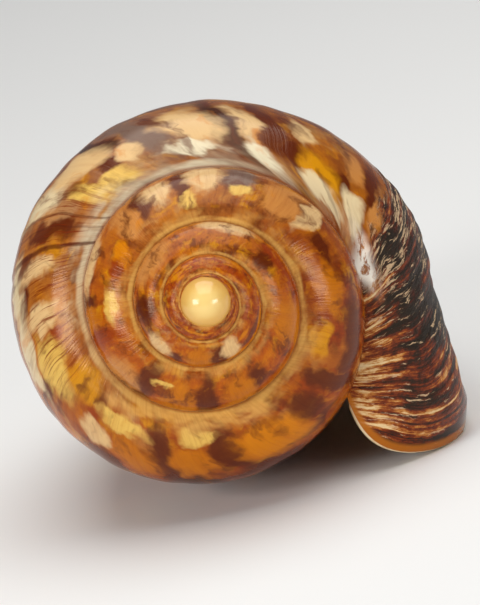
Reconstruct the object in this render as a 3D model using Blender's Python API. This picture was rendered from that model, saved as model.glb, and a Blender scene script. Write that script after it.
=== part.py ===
"""Volute shell: one thick-walled spiral solid, laid on its aperture with the apex towards -Y.

The shell is worked out in its own frame, with the spiral's pole at the origin and the axis along Z, apex up.
A place on the wall is given by its turn, counted from the lip (0) back towards the apex, and by how far it
lies across the whorl: first over the shoulder, from the suture to the widest line, and then down the body to
the anterior tip. One crosswise row of points is one growth line, and the last row is the lip.
"""

import math

import bmesh
import bpy
import numpy as np
from mathutils import Euler, Matrix, Vector

# Growth of the spiral
GROWTH = 1.69  # size ratio from one turn to the next
SUTURE_RADIUS = 0.0214  # at the end of the suture, where the lip starts
SUTURE_SQUEEZE = 0.051  # share by which the suture runs closer to the axis once in each turn
SUTURE_SQUEEZE_SHAPE = (3.3, 1.4)  # exponents of the squeeze's rise and fall over the turn
SPIRE_SLOPE = 1.03  # drop along the suture for each metre of its radius
LENGTH = 0.097  # from the spiral's pole to the anterior tip
LIP_ANGLE = math.radians(-34)  # direction of the suture's end, seen from the apex

# Radius of the last whorl's widest line at some turns before the lip, where it no longer follows the spiral
WIDEST = (
    (-1.00, 0.0214),
    (-0.80, 0.0233),
    (-0.60, 0.0245),
    (-0.40, 0.0252),
    (-0.26, 0.0264),
    (-0.15, 0.0285),
    (-0.09, 0.0297),
    (-0.05, 0.0336),
    (-0.037, 0.0354),
    (-0.02, 0.0367),
    (0.02, 0.0372),
)

# Body, below the widest line
BODY_END = 0.103  # from the pole to where the lip's wall would run into the axis
BODY_END_GROWTH = 1.25  # ratio of that distance from one turn to the next
BODY_FULLNESS = (2.0, 0.58)  # exponents of the body's outline
PILLAR_RADIUS = 0.062  # of the columella, for each metre below the pole
PILLAR_ROUNDING = 0.06  # share of the length that the columella's tip is rounded over
JOIN_SHARPNESS = 4  # how sharply the body turns into the columella

# Growth lines, and so the lip: how far they lag behind their start at the suture, in degrees about the axis
LAG_AT_WIDEST = 9.0
LEAD_ON_SHOULDER = 15.0  # forward bulge of the line on the shoulder
LAG_ON_BODY = 7.0  # more lag, gained over the first share of the body's reach
LAG_BODY_SHARE = 0.4
LAG_AT_NOTCH = 48.0  # more lag again, around the siphonal notch
NOTCH_START = 0.70  # share of the body's reach where the notch starts

# Wall and hollow
WALL = 0.0015
LIP_WALL = 0.0023
LIP_WALL_TURNS = 0.15  # distance behind the lip over which it thickens
SUTURE_WALL = 0.023  # share of the body's reach that the wall covers where it meets the whorl before
HOLLOW_END = 0.92  # share of the body's reach where the hollow ends
HOLLOW_ROUNDING = 6  # exponent that rounds off the hollow's anterior end
HOLLOW_TURNS = 2.0
HOLLOW_STRIDE = 2  # growth lines to each row of points inside

# Folds on the columella, as shares of the body's reach
FOLD_COUNT = 4
FOLDS_START = 0.56
FOLDS_END = 0.86
FOLD_HEIGHT = 0.0009
FOLD_FADE_TURNS = 0.08

# Apex knob
KNOB_RADIUS = 0.0031
KNOB_RINGS = 5

# Mesh density
TURN_STEPS = 40
LAG_STEPS = round(TURN_STEPS * LAG_AT_WIDEST / 360)
SPIRE_STEPS = 149  # growth lines from the edge of the knob to the lip
SHOULDER_STEPS = 8
BODY_STEPS_ABOVE_FOLDS = 7
BODY_STEPS_BELOW_FOLDS = 3
TIP_STEPS = 3

# Rest: the shell lies on its lip and its belly
ROLL = math.radians(-13.87)  # about the axis
DIP = math.radians(13.45)  # of the anterior end below the apex

# Row that starts the body's free stretch: its widest point is the end of the suture
START_ROW = -TURN_STEPS + LAG_STEPS
KNOB_ROW = -SPIRE_STEPS


def smooth_step(value):
    """Runs from 0 to 1, level at both ends, as value goes from 0 to 1."""
    value = np.clip(value, 0.0, 1.0)
    return value * value * (3 - 2 * value)


def smooth_table(points, place):
    """Smooth curve through (place, value) points, with slopes taken from their neighbours."""
    places = np.array([p for p, _ in points])
    values = np.array([v for _, v in points])
    slopes = np.gradient(values, places)
    index = np.clip(np.searchsorted(places, place) - 1, 0, len(places) - 2)
    width = places[index + 1] - places[index]
    t = np.clip((place - places[index]) / width, 0.0, 1.0)
    return (
        values[index] * (1 + 2 * t) * (1 - t) ** 2
        + slopes[index] * width * t * (1 - t) ** 2
        + values[index + 1] * t * t * (3 - 2 * t)
        + slopes[index + 1] * width * t * t * (t - 1)
    )


def suture_radius(turn):
    """Distance of the suture from the axis: a spiral that runs a little closer in once in each turn."""
    rise, fall = SUTURE_SQUEEZE_SHAPE
    place = np.mod(turn, 1.0)
    most = rise**rise * fall**fall / (rise + fall) ** (rise + fall)
    squeeze = place**rise * (1 - place) ** fall / most
    return SUTURE_RADIUS * GROWTH**turn * (1 - SUTURE_SQUEEZE * squeeze)


def suture_height(turn):
    return -SPIRE_SLOPE * suture_radius(turn)


KNOB_EDGE = suture_radius(KNOB_ROW / TURN_STEPS)


def widest_radius(turn):
    """Radius of the whorl's widest line: the spiral's own up to the last turn, then the last whorl's."""
    return np.where(turn < -1.0, suture_radius(turn + 1), smooth_table(WIDEST, np.maximum(turn, -1.0)))


def widest_height(turn):
    return suture_height(turn + 1)


def body_end(turn):
    """Height where the body's wall would run into the axis."""
    last_turn = -BODY_END * BODY_END_GROWTH ** np.maximum(turn, -1.0)
    return last_turn * GROWTH ** np.minimum(turn + 1, 0.0)


def row_end(row_turn):
    """Height where a row of points ends: the tip on the outside, less on the rows inside the hollow."""
    return -LENGTH * GROWTH ** np.minimum(row_turn - START_ROW / TURN_STEPS, 0.0)


def pillar_radius(height, end):
    """Radius of the columella, a slim cone with a rounded tip."""
    past = (height / end - 1 + PILLAR_ROUNDING) / PILLAR_ROUNDING
    rounding = np.sqrt(np.clip(1 - np.clip(past, 0.0, 1.0) ** 2, 0.0, 1.0))
    return PILLAR_RADIUS * -height * rounding


def body_radius(turn, height, end):
    """Radius of the outside at a height on the body, where the wall runs smoothly into the columella."""
    top = widest_height(turn)
    share = np.clip((top - height) / (top - body_end(turn)), 0.0, 1.0)
    wall = widest_radius(turn) * (1 - share ** BODY_FULLNESS[0]) ** BODY_FULLNESS[1]
    both = wall**JOIN_SHARPNESS + pillar_radius(height, end) ** JOIN_SHARPNESS
    return both ** (1 / JOIN_SHARPNESS)


def shoulder_lag(across):
    """Turns by which a growth line lags at a share of the shoulder; it leads a little near the suture."""
    lead = LEAD_ON_SHOULDER * np.sin(np.pi * across) * (1 - across) ** 2
    return (LAG_AT_WIDEST * across**2 - lead) / 360


def body_lag(down):
    """Turns by which a growth line lags at a share of the body's reach, most at the siphonal notch."""
    body = 1 - (1 - np.minimum(down / LAG_BODY_SHARE, 1.0)) ** 2
    notch = smooth_step((down - NOTCH_START) / (1 - NOTCH_START))
    return (LAG_AT_WIDEST + LAG_ON_BODY * body + LAG_AT_NOTCH * notch) / 360


def to_place(turn, radius, height):
    """Point in the shell's frame; the shell is dextral, so it turns clockwise seen from the apex."""
    angle = LIP_ANGLE - 2 * np.pi * turn
    return np.stack([radius * np.cos(angle), radius * np.sin(angle), height + 0 * angle], axis=-1)


def outer_shoulder(row_turn, across):
    """Points over the shoulder: a quarter of an ellipse from the suture to the widest line."""
    turn = row_turn - shoulder_lag(across)
    inner_radius = np.maximum(suture_radius(turn), KNOB_EDGE)
    inner_height = -SPIRE_SLOPE * inner_radius
    sweep = across * np.pi / 2
    radius = inner_radius + (widest_radius(turn) - inner_radius) * np.sin(sweep)
    height = inner_height + (widest_height(turn) - inner_height) * (1 - np.cos(sweep))
    return to_place(turn, radius, height)


def fold_bulge(row_turn, down):
    """Height of the columella's folds, which fade out where the columella leaves the aperture."""
    along = (down - FOLDS_START) / (FOLDS_END - FOLDS_START)
    wave = np.where((along > 0) & (along < 1), 0.5 - 0.5 * np.cos(2 * np.pi * FOLD_COUNT * along), 0.0)
    past_start = row_turn - START_ROW / TURN_STEPS
    fade = 1 - smooth_step(past_start / FOLD_FADE_TURNS)
    return FOLD_HEIGHT * wave * fade * GROWTH ** np.minimum(past_start, 0.0)


def outer_body(row_turn, down):
    """Points down the body, from the widest line to the row's end."""
    turn = row_turn - body_lag(down)
    end = row_end(row_turn)
    top = widest_height(turn)
    height = top + (end - top) * down
    radius = body_radius(turn, height, end) + fold_bulge(row_turn, down)
    return to_place(turn, radius, height)


def inner_row_turn(row_turn):
    """Turn of the row on the whorl before, which closes the hollow on the axis side."""
    return row_turn + START_ROW / TURN_STEPS


def inner_wall(row_turn, across, down):
    """Points on the inside of the whorl's own wall, from the posterior corner to the anterior corner."""
    before = inner_row_turn(row_turn)
    corner = outer_body(before, np.array([SUTURE_WALL]))[0]
    corner_radius, corner_height = math.hypot(corner[0], corner[1]), corner[2]
    corner_lag = body_lag(SUTURE_WALL) - LAG_AT_WIDEST / 360

    wall = WALL + (LIP_WALL - WALL) * smooth_step(1 + row_turn / LIP_WALL_TURNS)
    lag = shoulder_lag(across) + corner_lag * (1 - across) ** 2
    turn = row_turn - lag
    sweep = across * np.pi / 2
    radius = corner_radius + (widest_radius(turn) - wall - corner_radius) * np.sin(sweep)
    height = corner_height + (widest_height(turn) - corner_height) * (1 - np.cos(sweep))
    shoulder = to_place(turn, radius, height)

    end = row_end(before)
    turn = row_turn - body_lag(down * HOLLOW_END) + LAG_AT_WIDEST / 360 * down**HOLLOW_ROUNDING
    top = widest_height(turn)
    before_turn = before - body_lag(HOLLOW_END)
    bottom = widest_height(before_turn) + (end - widest_height(before_turn)) * HOLLOW_END
    height = top + (bottom - top) * down
    floor = body_radius(turn - 1, height, end)
    gap = np.maximum(body_radius(turn, height, -LENGTH) - wall - floor, 0.0)
    radius = floor + gap * np.sqrt(1 - down**HOLLOW_ROUNDING)
    return np.concatenate([shoulder, to_place(turn, radius, height)[1:]])


def body_columns():
    """Shares of the body's reach for the points of a row, with two steps to each fold."""
    above = np.linspace(SUTURE_WALL, FOLDS_START, BODY_STEPS_ABOVE_FOLDS + 1)
    folds = np.linspace(FOLDS_START, FOLDS_END, 2 * FOLD_COUNT + 1)
    below = np.linspace(FOLDS_END, HOLLOW_END, BODY_STEPS_BELOW_FOLDS + 1)
    tip = 1 - (1 - HOLLOW_END) * np.linspace(1, 0, TIP_STEPS + 1) ** 2
    return np.concatenate([[0.0], above, folds[1:], below[1:], tip[1:]])


def hollow_columns(columns):
    """The shares that lie within the hollow, spread over its whole reach."""
    inside = columns[: len(columns) - TIP_STEPS]
    return inside / inside[-1]


class ShellMesh:
    """Builds the closed surface, sharing points where one turn of the spire meets the next."""

    def __init__(self):
        self.bm = bmesh.new()
        self.shoulder = np.linspace(0, 1, SHOULDER_STEPS + 1)
        self.body = body_columns()
        self.rows = {}

    def add(self, points):
        return [self.bm.verts.new(p) for p in points]

    def face(self, corners):
        kept = [v for i, v in enumerate(corners) if v is not corners[i - 1]]
        if len(kept) > 2:
            self.bm.faces.new(kept)

    def strip(self, first, second):
        for i in range(len(first) - 1):
            self.face([first[i], first[i + 1], second[i + 1], second[i]])

    def knob(self):
        """The bulb at the apex, on a ring that the first turn of the spire grows from."""
        first_turn = KNOB_ROW / TURN_STEPS - 1
        turns = first_turn + np.arange(TURN_STEPS) / TURN_STEPS
        edge_height = -SPIRE_SLOPE * KNOB_EDGE
        centre = edge_height + math.sqrt(KNOB_RADIUS**2 - KNOB_EDGE**2)
        edge_polar = math.pi - math.asin(KNOB_EDGE / KNOB_RADIUS)
        self.ring = self.add(to_place(turns, KNOB_EDGE, edge_height))
        below = self.ring
        for i in range(1, KNOB_RINGS):
            polar = edge_polar * (1 - i / KNOB_RINGS)
            height = centre + KNOB_RADIUS * math.cos(polar)
            ring = self.add(to_place(turns, KNOB_RADIUS * math.sin(polar), height))
            self.strip(below + below[:1], ring + ring[:1])
            below = ring
        pole = self.add([(0, 0, centre + KNOB_RADIUS)])[0]
        self.strip(below + below[:1], [pole] * (TURN_STEPS + 1))

    def suture_point(self, row):
        """The shared point where a row starts: on the knob's ring, or on the turn before's widest line."""
        if row < KNOB_ROW:
            return self.ring[row - KNOB_ROW]
        return self.rows[row + START_ROW][SHOULDER_STEPS] if row > KNOB_ROW else self.ring[0]

    def spire_and_body(self):
        """The outside: the spire's rows end at the widest line, the last turn's rows at the tip."""
        first = KNOB_ROW - TURN_STEPS + LAG_STEPS + 1
        tip = self.add([(0, 0, -LENGTH)])[0]
        for row in range(first, 1):
            turn = row / TURN_STEPS
            points = self.add(outer_shoulder(turn, self.shoulder)[1:])
            self.rows[row] = [self.suture_point(row), *points]
            if row >= START_ROW:
                self.rows[row] += self.add(outer_body(turn, self.body)[1:-1]) + [tip]
            if row > first:
                self.strip(self.rows[row - 1], self.rows[row])
        self.face(self.ring[: LAG_STEPS + 1] + self.rows[first])

    def hollow(self):
        """The inside: the aperture's rim, the whorl's wall, the whorl before it, and the far end."""
        shares = hollow_columns(self.body)
        start = self.rows[START_ROW][SHOULDER_STEPS:]
        wall = self.add(inner_wall(0.0, self.shoulder, shares)[1:-1])
        inside = start[1:-TIP_STEPS]
        outside = [inside[0], *wall, inside[-1]]
        self.strip(self.rows[0], outside + start[-TIP_STEPS:])
        for row in range(-HOLLOW_STRIDE, -round(HOLLOW_TURNS * TURN_STEPS) - 1, -HOLLOW_STRIDE):
            turn = row / TURN_STEPS
            next_inside = self.add(outer_body(inner_row_turn(turn), self.body[1:-TIP_STEPS]))
            wall = self.add(inner_wall(turn, self.shoulder, shares)[1:-1])
            next_outside = [next_inside[0], *wall, next_inside[-1]]
            self.strip(outside, next_outside)
            self.strip(next_inside, inside)
            outside, inside = next_outside, next_inside
        self.close(outside, inside)

    def close(self, outside, inside):
        """Closes the hollow's far end with a strip between its two sides, which share their end points."""
        i = j = 0
        while i < len(outside) - 1 or j < len(inside) - 1:
            if j == len(inside) - 1 or (i + 1) * len(inside) <= (j + 1) * len(outside):
                self.face([outside[i], outside[i + 1], inside[j]])
                i += 1
            else:
                self.face([outside[i], inside[j + 1], inside[j]])
                j += 1

    def finish(self, name):
        bmesh.ops.recalc_face_normals(self.bm, faces=self.bm.faces)
        mesh = bpy.data.meshes.new(name)
        self.bm.to_mesh(mesh)
        self.bm.free()
        mesh.shade_smooth()
        return mesh


def lay_down(mesh):
    """Turns the shell onto its aperture and stands it on the ground, centred on the origin."""
    tip_over = Euler((math.pi / 2 - DIP, 0, 0)).to_matrix().to_4x4()
    mesh.transform(tip_over @ Matrix.Rotation(ROLL, 4, "Z"))
    corners = np.array([v.co for v in mesh.vertices])
    low, high = corners.min(axis=0), corners.max(axis=0)
    centre = (low + high) / 2
    mesh.transform(Matrix.Translation(Vector((-centre[0], -centre[1], -low[2]))))


def shell_material():
    """Glossy porcelain-like shell, orange brown on average."""
    material = bpy.data.materials.new("glossy_shell")
    material.use_nodes = True
    shader = material.node_tree.nodes["Principled BSDF"]
    shader.inputs["Base Color"].default_value = (0.45, 0.20, 0.05, 1.0)
    shader.inputs["Roughness"].default_value = 0.25
    shader.inputs["Metallic"].default_value = 0.0
    return material


def make_shell():
    shell = ShellMesh()
    shell.knob()
    shell.spire_and_body()
    shell.hollow()
    mesh = shell.finish("shell")
    lay_down(mesh)
    mesh.materials.append(shell_material())
    bpy.context.scene.collection.objects.link(bpy.data.objects.new("shell", mesh))


def main():
    for old in list(bpy.data.objects):
        bpy.data.objects.remove(old)
    make_shell()


main()
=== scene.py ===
"""Looks of a volute shell that lies on its aperture: its glossy mottled wall, and a plain studio around it.

The shell is worked out in its own frame, with the spiral's pole at the origin and the axis along Z, apex up,
and is then laid down. A place on the wall is given by its turn, counted from the lip (0) back towards the
apex, and by how far it lies across the whorl. One crosswise row of points is one growth line, and the last
row is the lip.
"""

import logging
import math
from dataclasses import dataclass
from enum import Enum

import bmesh
import bpy
import numpy as np
from mathutils import Euler, Matrix, Vector


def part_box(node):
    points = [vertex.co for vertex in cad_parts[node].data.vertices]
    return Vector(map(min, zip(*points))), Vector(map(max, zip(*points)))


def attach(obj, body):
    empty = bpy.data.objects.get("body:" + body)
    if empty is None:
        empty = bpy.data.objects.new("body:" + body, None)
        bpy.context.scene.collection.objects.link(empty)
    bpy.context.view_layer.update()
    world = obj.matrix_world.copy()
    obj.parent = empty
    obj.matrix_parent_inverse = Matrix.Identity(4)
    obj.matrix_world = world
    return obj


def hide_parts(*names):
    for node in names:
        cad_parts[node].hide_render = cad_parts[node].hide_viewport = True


logging.basicConfig(level=logging.INFO, format="%(message)s")
log = logging.getLogger("shell")

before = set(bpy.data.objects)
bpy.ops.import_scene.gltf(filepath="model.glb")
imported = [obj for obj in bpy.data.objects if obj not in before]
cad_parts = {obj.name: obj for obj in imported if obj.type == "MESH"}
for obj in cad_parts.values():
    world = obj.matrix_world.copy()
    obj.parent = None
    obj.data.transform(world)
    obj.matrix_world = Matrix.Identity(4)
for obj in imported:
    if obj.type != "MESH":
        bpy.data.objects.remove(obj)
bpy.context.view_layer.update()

Colour = tuple[float, float, float, float]
Place = tuple[float, float, float]
Pair = tuple[float, float]
Stops = tuple[tuple[float, str], ...]
Warps = tuple[tuple[Place, Place], ...]
Socket = bpy.types.NodeSocket


def colour(code: str) -> Colour:
    """Turns an sRGB hex code into a linear colour.

    Args:
        code: Six hex digits after a hash.

    Returns:
        Linear red, green, blue and an alpha of 1.
    """
    parts = [int(code[i : i + 2], 16) / 255 for i in (1, 3, 5)]
    linear = [p / 12.92 if p <= 0.04045 else ((p + 0.055) / 1.055) ** 2.4 for p in parts]
    return linear[0], linear[1], linear[2], 1.0


def smooth_step(value: np.ndarray | float) -> np.ndarray | float:
    """Runs from 0 to 1, level at both ends, as value goes from 0 to 1."""
    value = np.clip(value, 0.0, 1.0)
    return value * value * (3 - 2 * value)


def smooth_between(value: np.ndarray | float, start: float, end: float) -> np.ndarray | float:
    """Runs from 0 to 1, level at both ends, as value goes from start to end."""
    return smooth_step((value - start) / (end - start))


def smooth_table(points: tuple[Pair, ...], place: np.ndarray | float) -> np.ndarray:
    """Reads a smooth curve through points, with slopes taken from their neighbours.

    Args:
        points: Pairs of place and value, in order of place.
        place: Where the curve is read.

    Returns:
        The curve's value there.
    """
    places = np.array([p for p, _ in points])
    values = np.array([v for _, v in points])
    slopes = np.gradient(values, places)
    index = np.clip(np.searchsorted(places, place) - 1, 0, len(places) - 2)
    width = places[index + 1] - places[index]
    t = np.clip((place - places[index]) / width, 0.0, 1.0)
    return (
        values[index] * (1 + 2 * t) * (1 - t) ** 2
        + slopes[index] * width * t * (1 - t) ** 2
        + values[index + 1] * t * t * (3 - 2 * t)
        + slopes[index + 1] * width * t * t * (t - 1)
    )


class Surface(Enum):
    """The stretches of the wall that have a finish of their own."""

    OUTSIDE = 0
    BEAD = 1
    LIP = 2
    INSIDE = 3


class Tone(str, Enum):
    """Colours of the pattern, from the darkest brown to the palest cream, and one grey that is a painted
    sheen.
    """

    UMBER = "#3a1200"
    BROWN = "#581c00"
    # Painted sheen: a grey-brown that stands in for the overhead softbox's reflection on the glossy wall.
    SHEEN_GREY = "#70584c"
    RUST = "#903400"
    AMBER = "#bc6a00"
    ORANGE = "#cc7800"
    GOLD = "#cc8804"
    ROSE = "#c2803e"
    OCHRE = "#dfb558"
    PEACH = "#dcb67e"
    SAND = "#dec89c"
    CREAM = "#e4d8b6"
    WHITE = "#eeeade"


@dataclass(frozen=True)
class Growth:
    """The rule that the shell grows by. Lengths are in metres, turns are counted back from the lip."""

    ratio: float = 1.69
    suture_end: float = 0.0214
    squeeze: float = 0.051
    squeeze_shape: Pair = (3.3, 1.4)
    spire_slope: float = 1.03
    length: float = 0.097
    lip_angle: float = math.radians(-34)
    widest: tuple[Pair, ...] = (
        (-1.00, 0.0214),
        (-0.80, 0.0233),
        (-0.60, 0.0245),
        (-0.40, 0.0252),
        (-0.26, 0.0264),
        (-0.15, 0.0285),
        (-0.09, 0.0297),
        (-0.05, 0.0336),
        (-0.037, 0.0354),
        (-0.02, 0.0367),
        (0.02, 0.0372),
    )
    body_end: float = 0.103
    body_end_ratio: float = 1.25
    body_fullness: Pair = (2.0, 0.58)
    pillar_slope: float = 0.062
    pillar_rounding: float = 0.06
    join_sharpness: int = 4
    lag_at_widest: float = 9.0
    lead_on_shoulder: float = 15.0
    lag_on_body: float = 7.0
    lag_body_share: float = 0.4
    lag_at_notch: float = 48.0
    notch_start: float = 0.70
    knob_turn: float = -3.725

    @property
    def start_turn(self) -> float:
        """Turn of the row whose widest point is the end of the suture."""
        return -1 + self.lag_at_widest / 360

    @property
    def knob_edge(self) -> float:
        """Radius of the ring that the spire grows from."""
        return self.suture_radius(self.knob_turn)

    def suture_radius(self, turn: np.ndarray | float) -> np.ndarray | float:
        """Distance of the suture from the axis, a spiral that runs a little closer in once in each turn."""
        rise, fall = self.squeeze_shape
        place = np.mod(turn, 1.0)
        most = rise**rise * fall**fall / (rise + fall) ** (rise + fall)
        squeeze = place**rise * (1 - place) ** fall / most
        return self.suture_end * self.ratio**turn * (1 - self.squeeze * squeeze)

    def widest_radius(self, turn: np.ndarray) -> np.ndarray:
        """Radius of the whorl's widest line: the spiral's own, and on the last turn the last whorl's."""
        last = smooth_table(self.widest, np.maximum(turn, -1.0))
        return np.where(turn < -1.0, self.suture_radius(turn + 1), last)

    def widest_height(self, turn: np.ndarray) -> np.ndarray:
        """Height of the whorl's widest line, which is the next turn's suture."""
        return -self.spire_slope * self.suture_radius(turn + 1)

    def end_of_body(self, turn: np.ndarray) -> np.ndarray:
        """Height where the body's wall would run into the axis."""
        last_turn = -self.body_end * self.body_end_ratio ** np.maximum(turn, -1.0)
        return last_turn * self.ratio ** np.minimum(turn + 1, 0.0)

    def row_end(self, row_turn: float) -> float:
        """Height where a row of points ends: the tip on the outside, less on the rows inside the hollow."""
        return -self.length * self.ratio ** min(row_turn - self.start_turn, 0.0)

    def pillar_radius(self, height: np.ndarray, end: float) -> np.ndarray:
        """Radius of the columella, a slim cone with a rounded tip."""
        past = (height / end - 1 + self.pillar_rounding) / self.pillar_rounding
        rounding = np.sqrt(np.clip(1 - np.clip(past, 0.0, 1.0) ** 2, 0.0, 1.0))
        return self.pillar_slope * -height * rounding

    def body_radius(self, turn: np.ndarray, height: np.ndarray, end: float) -> np.ndarray:
        """Radius of the outside on the body, where the wall runs smoothly into the columella.

        Args:
            turn: Turn of each point.
            height: Height of each point.
            end: Height where the columella ends.

        Returns:
            Distance of each point from the axis.
        """
        top = self.widest_height(turn)
        share = np.clip((top - height) / (top - self.end_of_body(turn)), 0.0, 1.0)
        wall = self.widest_radius(turn) * (1 - share ** self.body_fullness[0]) ** self.body_fullness[1]
        both = wall**self.join_sharpness + self.pillar_radius(height, end) ** self.join_sharpness
        return both ** (1 / self.join_sharpness)

    def shoulder_lag(self, across: np.ndarray) -> np.ndarray:
        """Turns by which a growth line lags on the shoulder; it leads a little near the suture."""
        lead = self.lead_on_shoulder * np.sin(np.pi * across) * (1 - across) ** 2
        return (self.lag_at_widest * across**2 - lead) / 360

    def body_lag(self, down: np.ndarray | float) -> np.ndarray | float:
        """Turns by which a growth line lags on the body, most at the siphonal notch."""
        body = 1 - (1 - np.minimum(down / self.lag_body_share, 1.0)) ** 2
        notch = smooth_between(down, self.notch_start, 1.0)
        return (self.lag_at_widest + self.lag_on_body * body + self.lag_at_notch * notch) / 360

    def to_place(self, turn: np.ndarray, radius: np.ndarray, height: np.ndarray) -> np.ndarray:
        """Points in the shell's frame; the shell is dextral, so it turns clockwise seen from the apex."""
        angle = self.lip_angle - 2 * np.pi * turn
        return np.stack([radius * np.cos(angle), radius * np.sin(angle), height + 0 * angle], axis=-1)


@dataclass(frozen=True)
class Relief:
    """Low relief of the outside, in metres: growth marks, and scars where growth stopped for a while."""

    scars: tuple[Pair, ...] = ((-0.553, 0.00022), (-0.517, 0.0001), (-0.178, 0.00012))
    scar_fade: float = 0.02
    waves: tuple[Pair, ...] = ((11.3, 0.00006), (23.7, 0.00004), (41.0, 0.00002))
    rough_waves: tuple[Pair, ...] = ((33.0, 0.00008), (57.0, 0.00007), (83.0, 0.00005))
    rough_from: float = -0.2
    rough_fade: float = 0.06

    def height(self, turn: np.ndarray, growth: Growth) -> np.ndarray:
        """Height of the relief on a growth line, before it fades towards the sutures.

        Args:
            turn: Turn of the growth line.
            growth: The growth rule, which sizes the relief with the whorl.

        Returns:
            Height above the smooth wall.
        """
        total = 0 * turn
        for count, size in self.waves:
            total = total + size * np.sin(2 * np.pi * count * turn + count)
        rough = smooth_step((turn - self.rough_from) / self.rough_fade)
        for count, size in self.rough_waves:
            total = total + rough * size * np.sin(2 * np.pi * count * turn + 2 * count)
        for place, size in self.scars:
            behind = np.maximum(turn - place, 0.0)
            total = total + np.where(turn > place, size * np.exp(-behind / self.scar_fade), 0.0)
        return total * growth.ratio ** np.minimum(turn + 0.5, 0.0)


@dataclass
class VoluteShell:
    """The shell's closed wall, made of grids that are bent along its growth rule and joined."""

    growth: Growth = Growth()
    relief: Relief = Relief()
    turn_steps: int = 200
    shoulder_steps: int = 24
    body_steps: int = 44
    tip_steps: int = 6
    rim_steps: int = 6
    knob_radius: float = 0.0031
    knob_rings: int = 24
    wall: float = 0.0015
    lip_wall: float = 0.0023
    lip_wall_turns: float = 0.15
    rim_bulge: float = 0.25
    suture_wall: float = 0.023
    hollow_end: float = 0.92
    hollow_rounding: int = 6
    hollow_turns: float = 2.0
    hollow_stride: int = 2
    fold_count: int = 4
    folds: Pair = (0.56, 0.86)
    fold_height: float = 0.0009
    fold_fade: float = 0.08
    body_width: float = 3.0
    relief_start: float = 0.05
    relief_edge: float = 0.25
    relief_ends: Pair = (0.75, 0.9)
    rim_bulge_ends: Pair = (0.5, 0.85)
    rim_step_back: float = 0.002
    rim_turns: float = 0.01
    weld_distance: float = 4e-7
    speck_size: float = 1e-7
    smooth_angle: float = math.radians(42)
    roll: float = math.radians(-13.87)
    dip: float = math.radians(13.45)

    def __post_init__(self) -> None:
        """Spreads the points of a row over the shoulder and the body."""
        self.shoulder = np.linspace(0, 1, self.shoulder_steps + 1)
        hollow = np.linspace(self.suture_wall, self.hollow_end, self.body_steps + 1)
        tip = 1 - (1 - self.hollow_end) * np.linspace(1, 0, self.tip_steps + 1) ** 2
        self.body = np.concatenate([[0.0], hollow, tip[1:]])
        self.sheets: list[bpy.types.Object] = []

    @property
    def turned(self) -> Matrix:
        """Rotation that lays the shell on its lip and belly, with the apex towards -Y."""
        tip_over = Euler((math.pi / 2 - self.dip, 0, 0)).to_matrix().to_4x4()
        return tip_over @ Matrix.Rotation(self.roll, 4, "Z")

    def relief_on(self, row_turn: float, across: np.ndarray, down: np.ndarray) -> np.ndarray:
        """Relief of one row, level where the row meets another turn.

        Args:
            row_turn: Turn of the row.
            across: Shares of the shoulder.
            down: Shares of the body's reach, if the row runs down the body.

        Returns:
            Height above the smooth wall for each point.
        """
        from_start = smooth_step((row_turn - self.growth.start_turn) / self.relief_start)
        top = smooth_step(across / self.relief_edge)
        bottom = smooth_step((1 - across) / self.relief_edge)
        shoulder = top * (bottom + (1 - bottom) * from_start)
        body = from_start * (1 - smooth_between(down, *self.relief_ends))
        height = self.relief.height(np.full(len(across) + len(down), row_turn), self.growth)
        return height * np.concatenate([shoulder, body])

    def shoulder_row(self, row_turn: float) -> np.ndarray:
        """Points over the shoulder: a quarter of an ellipse from the suture to the widest line."""
        g = self.growth
        turn = row_turn - g.shoulder_lag(self.shoulder)
        inner_radius = np.maximum(g.suture_radius(turn), g.knob_edge)
        inner_height = -g.spire_slope * inner_radius
        sweep = self.shoulder * np.pi / 2
        radius = inner_radius + (g.widest_radius(turn) - inner_radius) * np.sin(sweep)
        height = inner_height + (g.widest_height(turn) - inner_height) * (1 - np.cos(sweep))
        return g.to_place(turn, radius + self.relief_on(row_turn, self.shoulder, np.zeros(0)), height)

    def fold_bulge(self, row_turn: float, down: np.ndarray) -> np.ndarray:
        """Height of the columella's folds, which fade out where the columella leaves the aperture."""
        along = (down - self.folds[0]) / (self.folds[1] - self.folds[0])
        wave = 0.5 - 0.5 * np.cos(2 * np.pi * self.fold_count * along)
        wave = np.where((along > 0) & (along < 1), wave, 0.0)
        past_start = row_turn - self.growth.start_turn
        fade = 1 - smooth_step(past_start / self.fold_fade)
        return self.fold_height * wave * fade * self.growth.ratio ** min(past_start, 0.0)

    def body_row(self, row_turn: float, down: np.ndarray) -> np.ndarray:
        """Points down the body, from the widest line to the row's end."""
        g = self.growth
        turn = row_turn - g.body_lag(down)
        end = g.row_end(row_turn)
        top = g.widest_height(turn)
        height = top + (end - top) * down
        radius = g.body_radius(turn, height, end) + self.fold_bulge(row_turn, down)
        return g.to_place(turn, radius + self.relief_on(row_turn, np.zeros(0), down), height)

    def outside_row(self, row_turn: float) -> np.ndarray:
        """One whole growth line of the last turn, from the suture to the tip."""
        return np.concatenate([self.shoulder_row(row_turn), self.body_row(row_turn, self.body)[1:]])

    def hollow_floor(self, row_turn: float) -> np.ndarray:
        """Points on the whorl before, which closes the hollow on the axis side."""
        return self.body_row(row_turn + self.growth.start_turn, self.body[1 : -self.tip_steps])

    def hollow_wall(self, row_turn: float) -> np.ndarray:
        """Points on the inside of the whorl's own wall, which meet the hollow's floor at both ends.

        Args:
            row_turn: Turn of the row.

        Returns:
            Points from the posterior corner to the anterior corner.
        """
        g = self.growth
        before = row_turn + g.start_turn
        floor_row = self.hollow_floor(row_turn)
        corner_radius, corner_height = math.hypot(floor_row[0][0], floor_row[0][1]), floor_row[0][2]
        corner_lag = g.body_lag(self.suture_wall) - g.lag_at_widest / 360

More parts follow.
